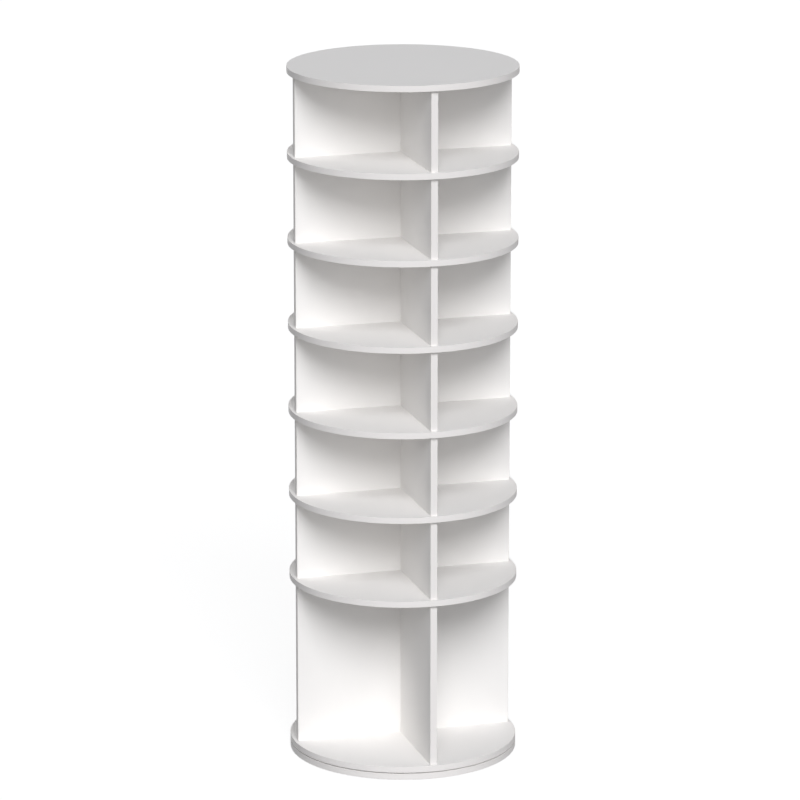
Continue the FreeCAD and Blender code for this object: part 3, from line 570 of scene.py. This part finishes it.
def turn_shape(shape, profile, steps):
    """Spins a profile of (radius, height) points about Z, and closes it where it meets the axis."""
    points = [shape.verts.new((radius, 0, height)) for radius, height in profile]
    line = [shape.edges.new(pair) for pair in zip(points, points[1:])]
    bmesh.ops.spin(
        shape, geom=points + line, cent=(0, 0, 0), axis=(0, 0, 1), angle=math.tau, steps=steps,
        use_merge=True,
    )
    bmesh.ops.remove_doubles(shape, verts=shape.verts, dist=1e-6)
    return [edge for edge in shape.edges if edge.is_boundary]


def sink_cross(shape, rim, length, width, depth):
    """Closes a round end, whose rim is given, with a flat face that has a cross recess."""
    middle = Matrix.Translation((0, 0, rim[0].verts[0].co.z))
    grid = bmesh.ops.create_grid(
        shape, x_segments=3, y_segments=3, size=length / 2, matrix=middle
    )["verts"]
    for vertex in grid:
        for axis in (0, 1):
            if abs(vertex.co[axis]) < length / 4:
                vertex.co[axis] *= 3 * width / length
    cross = {face for vertex in grid for face in vertex.link_faces}
    corners = {
        face for face in cross
        if min(abs(reach) for reach in face.calc_center_median().xy) > width / 2
    }
    cross -= corners
    bmesh.ops.delete(shape, geom=list(corners), context="FACES")
    outline = [edge for face in cross for edge in face.edges if edge.is_boundary]
    bmesh.ops.bridge_loops(shape, edges=rim + outline)
    sunk = bmesh.ops.extrude_face_region(shape, geom=list(cross))["geom"]
    bmesh.ops.delete(shape, geom=[face for face in cross if face.is_valid], context="FACES")
    floor = [item for item in sunk if isinstance(item, bmesh.types.BMVert)]
    bmesh.ops.scale(shape, verts=floor, vec=(CROSS_TAPER, CROSS_TAPER, 1))
    bmesh.ops.translate(shape, verts=floor, vec=(0, 0, -depth))


def cut_thread(shape, root, crest, start, end, pitch):
    """A sharp ridge wound round Z from one height to another."""
    ridge = [shape.verts.new(place) for place in (
        (root, 0, start - pitch / 3), (crest, 0, start), (root, 0, start + pitch / 3)
    )]
    flanks = [shape.edges.new(pair) for pair in zip(ridge, ridge[1:] + ridge[:1])]
    steps = round(THREAD_STEPS * (end - start) / pitch)
    bmesh.ops.spin(
        shape, geom=ridge + flanks, cent=(0, 0, 0), axis=(0, 0, 1), dvec=(0, 0, pitch / THREAD_STEPS),
        angle=math.tau * steps / THREAD_STEPS, steps=steps, use_merge=False,
    )
    bmesh.ops.holes_fill(shape, edges=[edge for edge in shape.edges if edge.is_boundary], sides=3)


def copies(shape, places):
    """One bmesh with a copy of the shape at each place."""
    pattern = bpy.data.meshes.new("pattern")
    shape.to_mesh(pattern)
    shape.free()
    together = bmesh.new()
    for place in places:
        one = pattern.copy()
        one.transform(place)
        together.from_mesh(one)
        bpy.data.meshes.remove(one)
    bpy.data.meshes.remove(pattern)
    return together


def make_ring_screws(name, node, body, places):
    screw = bmesh.new()
    cone_end = SCREW_RADIUS - SCREW_HEAD_RADIUS
    thread_start = -SCREW_PLAIN_LENGTH - SCREW_RUN_IN
    rim = turn_shape(screw, [
        (SCREW_HEAD_RADIUS, 0), (SCREW_HEAD_RADIUS, -SCREW_HEAD_LIP), (SCREW_RADIUS, cone_end),
        (SCREW_RADIUS, -SCREW_PLAIN_LENGTH), (SCREW_ROOT, thread_start),
        (SCREW_ROOT, -SCREW_TAPER_START), (0, -SCREW_LENGTH),
    ], SCREW_STEPS)
    sink_cross(screw, rim, CROSS_LENGTH, CROSS_WIDTH, CROSS_DEPTH)
    ridge_root = SCREW_ROOT * SCREW_RIDGE_SINK
    cut_thread(screw, ridge_root, SCREW_RADIUS, -SCREW_THREAD_END, thread_start, SCREW_PITCH)
    piece = new_piece(name, copies(screw, places), zinc_plate)
    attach(piece, body)
    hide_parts(node)


def make_all_ring_screws():
    over = Matrix.Rotation(math.pi, 4, "Y")
    heads_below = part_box("upper_ring_screws")[0].z
    heads_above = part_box("lower_ring_screws")[1].z
    lower = round_the_axis(SCREW_COUNT, LOWER_SCREW_REACH, heads_above)
    upper = [place @ over for place in round_the_axis(SCREW_COUNT, UPPER_SCREW_REACH, heads_below)]
    make_ring_screws("lower_screws", "lower_ring_screws", "base", lower)
    make_ring_screws("upper_screws", "upper_ring_screws", "tower", upper)


make_all_ring_screws()


# Cam locks.  Zinc die-cast barrels pressed into the dividers' blind bores; a turn of the cross recess
# makes the hollow barrel grip a bolt's head, which comes in by the round hole and is held by the slot.

CAM_RADIUS = 0.00745
CAM_LENGTH = 0.0135
CAM_HOLLOW_RADIUS = 0.005
CAM_MIDDLE = 0.009
CAM_ROWS = (-0.00375, -0.00365, -0.00225, -0.00075, 0.00075, 0.00225, 0.00365, 0.00375)
CAM_SLOT_WIDTH = 0.0045
CAM_SLOT_TURNS = (15, 150)
CAM_ENTRY_RADIUS = 0.0036
CAM_CROSS_LENGTH = 0.007
CAM_CROSS_WIDTH = 0.0014
CAM_CROSS_DEPTH = 0.0024
CAM_EASE = 0.0004
CAM_COLUMNS = 36
CAM_REACH = 0.241
CAM_FROM_END = 0.034
ARM_TURNS = ((0, 1), (0, -1), (90, 1), (270, 1))
ZINC_COLOUR = (0.52, 0.525, 0.53, 1)


def cam_places():
    """Each with its Z out of the divider's face and its Y towards the end that the bolt comes from."""
    half_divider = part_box("long_divider_1")[1].y
    lie_flat = Matrix.Rotation(-math.pi / 2, 4, "X")
    places = []
    for tier in TIERS:
        low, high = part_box(f"long_divider_{tier}")
        for level, half_turn in ((low.z + CAM_FROM_END, 0), (high.z - CAM_FROM_END, math.pi)):
            for turn, side in ARM_TURNS:
                arm = Matrix.Rotation(math.radians(turn), 4, "Z")
                face = Matrix.Translation((side * CAM_REACH, half_divider, level))
                places.append(arm @ face @ Matrix.Rotation(half_turn, 4, "Y") @ lie_flat)
    return places


def raise_rim(shape, rim, rise, draw_in):
    """Extrudes a round open rim along Z and draws it in; gives back the new rim."""
    drawn = bmesh.ops.extrude_edge_only(shape, edges=rim)["geom"]
    points = {item for item in drawn if isinstance(item, bmesh.types.BMVert)}
    scale = 1 - draw_in / max(point.co.xy.length for point in points)
    bmesh.ops.scale(shape, verts=list(points), vec=(scale, scale, 1))
    bmesh.ops.translate(shape, verts=list(points), vec=(0, 0, rise))
    return [item for item in drawn if isinstance(item, bmesh.types.BMEdge) and set(item.verts) <= points]


def shape_cam_lock():
    girth = math.tau * CAM_RADIUS
    rows = len(CAM_ROWS) - 1
    cam = flat_sheet(girth, rows, CAM_COLUMNS, rows)
    for vertex in cam.verts:
        vertex.co.y = CAM_ROWS[round(vertex.co.y + rows / 2)]
    slot = []
    for face in cam.faces:
        middle = face.calc_center_median()
        turn = math.degrees(middle.x / CAM_RADIUS) - 180
        if abs(middle.y) < CAM_SLOT_WIDTH / 2 and CAM_SLOT_TURNS[0] < turn < CAM_SLOT_TURNS[1]:
            slot.append(face)
    bmesh.ops.delete(cam, geom=slot, context="FACES")
    open_hole(cam, Vector((girth / 2, 0, 0)), CAM_ENTRY_RADIUS)
    roll_up(cam, CAM_RADIUS)
    bmesh.ops.solidify(cam, geom=cam.faces[:], thickness=CAM_RADIUS - CAM_HOLLOW_RADIUS)
    near_end = (CAM_ROWS[-2] + CAM_ROWS[-1]) / 2
    ends = [face for face in cam.faces if min(abs(vertex.co.z) for vertex in face.verts) > near_end]
    bmesh.ops.delete(cam, geom=ends, context="FACES")
    rims = {}
    for edge in cam.edges:
        if edge.is_boundary:
            point = edge.verts[0].co
            inner = point.xy.length < (CAM_RADIUS + CAM_HOLLOW_RADIUS) / 2
            rims.setdefault((inner, point.z > 0), []).append(edge)
    for upper in (True, False):
        bmesh.ops.edgeloop_fill(cam, edges=rims[True, upper])
    foot = raise_rim(cam, rims[False, False], CAM_MIDDLE - CAM_LENGTH - CAM_ROWS[0] + CAM_EASE, 0)
    bmesh.ops.edgeloop_fill(cam, edges=raise_rim(cam, foot, -CAM_EASE, CAM_EASE))
    collar = raise_rim(cam, rims[False, True], CAM_MIDDLE - CAM_ROWS[-1] - CAM_EASE, 0)
    face_rim = raise_rim(cam, collar, CAM_EASE, CAM_EASE)
    sink_cross(cam, face_rim, CAM_CROSS_LENGTH, CAM_CROSS_WIDTH, CAM_CROSS_DEPTH)
    bmesh.ops.rotate(cam, verts=cam.verts, cent=(0, 0, 0), matrix=Matrix.Rotation(math.pi, 3, "Z"))
    bmesh.ops.translate(cam, verts=cam.verts, vec=(0, 0, -CAM_MIDDLE))
    return cam


def make_cam_locks():
    zinc = metal_material(
        "die_cast_zinc", ZINC_COLOUR, drift=0.15, grain=900.0, roughness=0.42, roughness_range=0.25,
        relief=0.00003,
    )
    piece = new_piece("cam_barrels", copies(shape_cam_lock(), cam_places()), zinc)
    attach(piece, "tower")
    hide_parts("cam_locks")


make_cam_locks()


# Cover caps.  Thin white plastic discs, slightly domed, that hide the cam locks; a fin behind each one
# is pressed into the cam lock's cross recess.

CAP_STEPS = 40
CAP_PROFILE = ((0, 0.001), (0.005, 0.00096), (0.0074, 0.00086), (0.0081, 0.00066), (0.00845, 0.00034),
               (0.0085, 0), (0, 0))
FIN_LENGTH = 0.0068
FIN_WIDTH = 0.0012
FIN_DEPTH = 0.002
CAP_COLOUR = (0.75, 0.745, 0.738, 1)


def make_cover_caps():
    cap = bmesh.new()
    turn_shape(cap, CAP_PROFILE, CAP_STEPS)
    fin_size = Matrix.Diagonal((FIN_LENGTH, FIN_WIDTH, FIN_DEPTH, 1))
    fin = Matrix.Translation((0, 0, -FIN_DEPTH / 2)) @ fin_size
    bmesh.ops.create_cube(cap, size=1, matrix=fin)
    plastic = grained_material(
        "white_cap_plastic", CAP_COLOUR, drift=0.04, grain=1300.0, roughness=0.42,
        roughness_range=0.14, relief=0.00001,
    )
    piece = new_piece("cover_caps", copies(cap, cam_places()), plastic)
    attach(piece, "tower")
    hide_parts("cam_cover_caps")


make_cover_caps()


# Cam bolts.  Zinc-plated steel, turned with a neck and a round head that a cam lock grips.  Those
# through a shelf have a head at both ends; those in the turning board and the top board have a coarse
# screw thread at one end.

BOLT_RADIUS = 0.00325
NECK_RADIUS = 0.002
HEAD_RADIUS = 0.0035
HEAD_LENGTH = 0.003
SHANK_TO_END = 0.008
BOLT_EASE = 0.0004
BOLT_END = 0.0336
BOLT_STEPS = 28
THREAD_LENGTH = 0.011
THREAD_ROOT = 0.0024
THREAD_PITCH = 0.0028
THREAD_RIDGE_SINK = 0.95
THREAD_TIP_LENGTH = 0.0008
THREAD_TIP_SHARE = 0.6
ARM_COUNT = 4


def head_profile(end):
    """From the shank to the axis at the outer end of the head."""
    return [
        (BOLT_RADIUS, end - SHANK_TO_END - BOLT_EASE), (BOLT_RADIUS - BOLT_EASE, end - SHANK_TO_END),
        (NECK_RADIUS, end - SHANK_TO_END), (NECK_RADIUS, end - HEAD_LENGTH),
        (HEAD_RADIUS - BOLT_EASE, end - HEAD_LENGTH), (HEAD_RADIUS, end - HEAD_LENGTH + BOLT_EASE),
        (HEAD_RADIUS, end - BOLT_EASE), (HEAD_RADIUS - BOLT_EASE, end), (0, end),
    ]


def on_the_arms(reach, level):
    return round_the_axis(ARM_COUNT, reach, level)


def make_bolts(name, node, bolt, places):
    piece = new_piece(name, copies(bolt, places), zinc_plate)
    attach(piece, "tower")
    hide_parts(node)


def make_shelf_bolts():
    low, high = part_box("shelf_1")
    upper = head_profile((high.z - low.z) / 2 + BOLT_END)
    bolt = bmesh.new()
    turn_shape(bolt, [(radius, -height) for radius, height in reversed(upper)] + upper, BOLT_STEPS)
    places = []
    for shelf in SHELVES:
        low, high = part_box(shelf)
        places += on_the_arms(CAM_REACH, (low.z + high.z) / 2)
    make_bolts("shelf_bolts", "shelf_cam_bolts", bolt, places)


def make_screw_in_bolts(name, node, places):
    bolt = bmesh.new()
    tip = [
        (0, -THREAD_LENGTH), (THREAD_ROOT * THREAD_TIP_SHARE, -THREAD_LENGTH),
        (THREAD_ROOT, -THREAD_LENGTH + THREAD_TIP_LENGTH),
    ]
    collar = [(THREAD_ROOT, -BOLT_EASE), (BOLT_RADIUS, BOLT_EASE)]
    turn_shape(bolt, tip + collar + head_profile(BOLT_END), BOLT_STEPS)
    start, end = -THREAD_LENGTH + THREAD_PITCH / 2, -THREAD_PITCH / 2
    cut_thread(bolt, THREAD_ROOT * THREAD_RIDGE_SINK, BOLT_RADIUS, start, end, THREAD_PITCH)
    make_bolts(name, node, bolt, places)


def make_end_bolts():
    over = Matrix.Rotation(math.pi, 4, "Y")
    upwards = on_the_arms(CAM_REACH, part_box("turning_board")[1].z)
    downwards = [place @ over for place in on_the_arms(CAM_REACH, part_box("top_board")[0].z)]
    make_screw_in_bolts("turning_board_bolts", "turning_board_cam_bolts", upwards)
    make_screw_in_bolts("top_board_bolts", "top_board_cam_bolts", downwards)


make_shelf_bolts()
make_end_bolts()


# Dowels.  Beech rods with pressed flutes and chamfered ends.  They stand through the shelves, in the
# turning board and the top board, and lie through each long divider to hold the two half dividers.

DOWEL_RADIUS = 0.004
DOWEL_CHAMFER = 0.0008
FLUTE_COUNT = 20
FLUTE_DEPTH = 0.00022
DOWEL_REACH = 0.177
DOWEL_BITE = 0.016
DOWEL_BOARD_BITE = 0.011
CENTRE_DOWEL_FROM_END = 0.06
BEECH_LIGHT = (0.60, 0.41, 0.25, 1)
BEECH_DARK = (0.42, 0.255, 0.135, 1)
BEECH_ROUGHNESS = 0.5
BEECH_ROUGHNESS_RANGE = 0.2
BEECH_RELIEF = 0.00005
ALONG_THE_GRAIN = 0.05
BANDS_PER_METRE = 700.0
FLECKS_PER_METRE = 3200.0
FLECK_LEVEL = 0.62
FLECK_SHADE = 0.45
LIGHTEST_SHADE = 1.25


def beech(name, along):
    """Beech with its grain along one axis: soft bands, and short dark flecks."""
    material, tree, shader, place = new_material(name)
    squeeze = [ALONG_THE_GRAIN if axis == along else 1.0 for axis in "XYZ"]
    fibres = add_node(tree, "ShaderNodeVectorMath", {0: place, 1: squeeze}, operation="MULTIPLY")
    band_inputs = {"Vector": fibres.outputs[0], "Scale": BANDS_PER_METRE, "Detail": 4.0}
    bands = add_node(tree, "ShaderNodeTexNoise", band_inputs).outputs["Fac"]
    fleck_inputs = {"Vector": fibres.outputs[0], "Scale": FLECKS_PER_METRE}
    flecks = add_node(tree, "ShaderNodeTexNoise", fleck_inputs).outputs["Fac"]
    fleck = reckon(tree, "MULTIPLY", reckon(tree, "GREATER_THAN", flecks, FLECK_LEVEL), FLECK_SHADE)
    shade = reckon(tree, "SUBTRACT", LIGHTEST_SHADE, reckon(tree, "ADD", bands, fleck))
    roughness = reckon(tree, "MULTIPLY_ADD", bands, BEECH_ROUGHNESS_RANGE, BEECH_ROUGHNESS)
    bump = add_node(tree, "ShaderNodeBump", {"Height": shade, "Distance": BEECH_RELIEF})
    feed(tree, shader.inputs["Base Color"], mix_colours(tree, shade, BEECH_DARK, BEECH_LIGHT))
    feed(tree, shader.inputs["Roughness"], roughness)
    feed(tree, shader.inputs["Normal"], bump.outputs["Normal"])
    return material


def make_dowels(name, node, wood, length, places):
    """A dowel stands on each place, along its Z."""
    dowel = bmesh.new()
    foot = bmesh.ops.create_circle(
        dowel, cap_ends=True, segments=2 * FLUTE_COUNT, radius=DOWEL_RADIUS
    )["verts"]
    draw_in = 1 - FLUTE_DEPTH / DOWEL_RADIUS
    bmesh.ops.scale(dowel, verts=foot[::2], vec=(draw_in, draw_in, 1))
    grown = bmesh.ops.extrude_face_region(dowel, geom=dowel.faces[:], use_keep_orig=True)["geom"]
    head = [item for item in grown if isinstance(item, bmesh.types.BMVert)]
    bmesh.ops.translate(dowel, verts=head, vec=(0, 0, length))
    ends = [edge for edge in dowel.edges if abs(edge.verts[0].co.z - edge.verts[1].co.z) < DOWEL_CHAMFER]
    round_edges(dowel, ends, DOWEL_CHAMFER, segments=1)
    piece = new_piece(name, copies(dowel, places), wood)
    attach(piece, "tower")
    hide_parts(node)


def make_all_dowels():
    upright = beech("beech_upright", "Z")
    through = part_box("shelf_1")[1].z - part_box("shelf_1")[0].z + 2 * DOWEL_BITE
    through_shelves = []
    for shelf in SHELVES:
        through_shelves += on_the_arms(DOWEL_REACH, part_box(shelf)[0].z - DOWEL_BITE)
    make_dowels("shelf_pegs", "shelf_dowels", upright, through, through_shelves)
    in_turning_board = on_the_arms(DOWEL_REACH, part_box("turning_board")[1].z - DOWEL_BOARD_BITE)
    in_top_board = on_the_arms(DOWEL_REACH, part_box("top_board")[0].z - DOWEL_BITE)
    blind = DOWEL_BOARD_BITE + DOWEL_BITE
    make_dowels("turning_board_pegs", "turning_board_dowels", upright, blind, in_turning_board)
    make_dowels("top_board_pegs", "top_board_dowels", upright, blind, in_top_board)

    low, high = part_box("centre_dowels")
    lying = Matrix.Rotation(-math.pi / 2, 4, "X")
    middles = []
    for tier in TIERS:
        foot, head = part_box(f"long_divider_{tier}")
        for level in (foot.z + CENTRE_DOWEL_FROM_END, head.z - CENTRE_DOWEL_FROM_END):
            middles.append(Matrix.Translation((0, low.y, level)) @ lying)
    make_dowels("centre_pegs", "centre_dowels", beech("beech_lying", "Y"), high.y - low.y, middles)


make_all_dowels()


# Studio.  A pale floor in a plain pale room that is brighter in front.  One very broad lamp lights the
# tower from the front and above, and a narrower one, low and straight behind it, lights its back.

FLOOR_SIZE = 80
FLOOR_COLOUR = (0.35, 0.35, 0.35, 1)
FLOOR_ROUGHNESS = 0.9
FLOOR_GLOW = 1.97
FLOOR_GLOW_SHARE = 0.45
WHITE = (1, 1, 1, 1)
ROOM_COLOUR = (0.88, 0.94, 1.05, 1)
ROOM_STRENGTH = 0.035
FRONT_WALL_COLOUR = (1, 1, 1, 1)
FRONT_WALL_STRENGTH = 0.77
FRONT_TURN = -8
FRONT_LAMP_COLOUR = (0.985, 0.99, 1.01)
BACK_LAMP_COLOUR = (0.97, 0.985, 1)


def seen_straight_or_mirrored(tree):
    """One where a ray comes from the camera, a mirror or glass."""
    rays = add_node(tree, "ShaderNodeLightPath", {}).outputs
    mirrored = reckon(tree, "MAXIMUM", rays["Is Glossy Ray"], rays["Is Transmission Ray"])
    return reckon(tree, "MAXIMUM", rays["Is Camera Ray"], mirrored)


def make_floor():
    plane = bmesh.new()
    bmesh.ops.create_grid(plane, x_segments=1, y_segments=1, size=FLOOR_SIZE / 2)
    mesh = bpy.data.meshes.new("floor")
    plane.to_mesh(mesh)
    plane.free()
    material, tree, shader, _ = new_material("pale_floor")
    shader.inputs["Base Color"].default_value = FLOOR_COLOUR
    shader.inputs["Roughness"].default_value = FLOOR_ROUGHNESS
    glow = add_node(tree, "ShaderNodeEmission", {"Color": WHITE, "Strength": FLOOR_GLOW})
    share = reckon(tree, "MULTIPLY", seen_straight_or_mirrored(tree), FLOOR_GLOW_SHARE)
    surface = add_node(tree, "ShaderNodeMixShader", {0: share, 1: shader.outputs[0], 2: glow.outputs[0]})
    feed(tree, tree.nodes["Material Output"].inputs["Surface"], surface.outputs[0])
    mesh.materials.append(material)
    floor = bpy.data.objects.new("floor", mesh)
    bpy.context.scene.collection.objects.link(floor)


def make_room():
    world = bpy.data.worlds.new("pale_room")
    world.use_nodes = True
    bpy.context.scene.world = world
    tree = world.node_tree
    direction = tree.nodes.new("ShaderNodeTexCoord").outputs["Generated"]
    turn = math.radians(FRONT_TURN)
    front = (math.sin(turn), -math.cos(turn), 0)
    towards = add_node(tree, "ShaderNodeVectorMath", {0: direction, 1: front}, operation="DOT_PRODUCT")
    forward = reckon(tree, "MAXIMUM", towards.outputs["Value"], 0.0)
    strength = reckon(tree, "MULTIPLY_ADD", forward, FRONT_WALL_STRENGTH, ROOM_STRENGTH)
    soft = tree.nodes["Background"]
    feed(tree, soft.inputs["Color"], mix_colours(tree, forward, ROOM_COLOUR, FRONT_WALL_COLOUR))
    feed(tree, soft.inputs["Strength"], strength)
    white = add_node(tree, "ShaderNodeBackground", {"Color": WHITE, "Strength": 1.0})
    share = seen_straight_or_mirrored(tree)
    surface = add_node(tree, "ShaderNodeMixShader", {0: share, 1: soft.outputs[0], 2: white.outputs[0]})
    feed(tree, tree.nodes["World Output"].inputs["Surface"], surface.outputs[0])


def make_lamp(name, turn, rise, spread, power, colour):
    """A far lamp: turn is its angle from the front, to the right, and rise its angle over the floor."""
    light = bpy.data.lights.new(name, "SUN")
    light.angle = math.radians(spread)
    light.energy = power
    light.color = colour
    lamp = bpy.data.objects.new(name, light)
    level = Matrix.Rotation(math.radians(90 - rise), 4, "X")
    lamp.matrix_world = Matrix.Rotation(math.radians(turn), 4, "Z") @ level
    lamp.visible_glossy = False
    bpy.context.scene.collection.objects.link(lamp)


make_floor()
make_room()
make_lamp("front_lamp", turn=FRONT_TURN, rise=38, spread=30, power=2.14, colour=FRONT_LAMP_COLOUR)
make_lamp("back_lamp", turn=184, rise=3, spread=12, power=1.8, colour=BACK_LAMP_COLOUR)


# Camera.  It stands sixteen degrees to the left of the front, well above the top board, and looks down
# at the tower through a long lens.

CAMERA_TURN = math.radians(16)
CAMERA_DISTANCE = 11.477
CAMERA_HEIGHT = 3.925
CAMERA_PITCH = 0.2538
CAMERA_ASIDE = 0.00066
CAMERA_LENS = 203.6
CAMERA_SENSOR = 36
CAMERA_SIGHT = 200


def make_camera():
    lens = bpy.data.cameras.new("camera")
    lens.lens = CAMERA_LENS
    lens.sensor_width = CAMERA_SENSOR
    lens.clip_end = CAMERA_SIGHT
    camera = bpy.data.objects.new("camera", lens)
    camera.location = (
        -CAMERA_DISTANCE * math.sin(CAMERA_TURN), -CAMERA_DISTANCE * math.cos(CAMERA_TURN), CAMERA_HEIGHT
    )
    camera.rotation_euler = (math.pi / 2 - CAMERA_PITCH, 0, CAMERA_ASIDE - CAMERA_TURN)
    bpy.context.scene.collection.objects.link(camera)
    bpy.context.scene.camera = camera


make_camera()
bpy.context.scene.view_settings.view_transform = "Standard"
